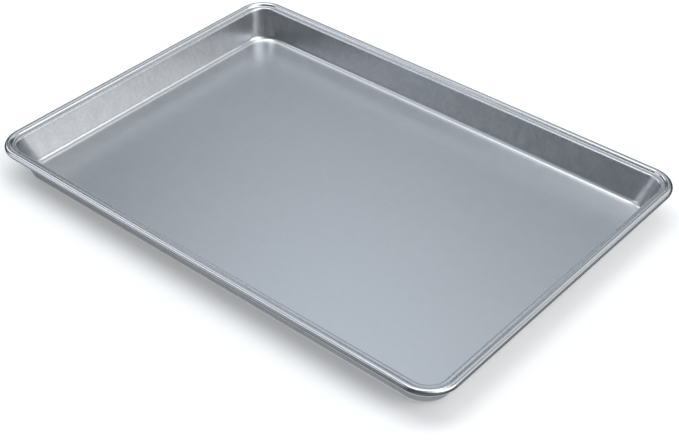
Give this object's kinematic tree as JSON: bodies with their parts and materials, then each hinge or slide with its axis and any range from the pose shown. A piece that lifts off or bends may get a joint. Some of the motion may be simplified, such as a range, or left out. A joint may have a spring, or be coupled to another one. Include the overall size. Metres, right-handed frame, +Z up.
{
  "type": "jelly roll pan",
  "caption": "Shallow rectangular baking pan: flat floor, flared walls with rounded corners, and an edge curled over a stiffening wire.",
  "frame": {"origin": "centre of the underside of the floor, on the surface the pan stands on", "axes": "+X along the long side, +Y along the short side, +Z up out of the open top"},
  "size_m": [0.4318, 0.304, 0.0296],
  "materials": {
    "pan_sheet": "satin aluminised steel",
    "rim_wire": "drawn steel wire"
  },
  "bodies": {
    "root": {"pan_body": "pan_sheet", "rim_wire": "rim_wire"}
  },
  "joints": []
}
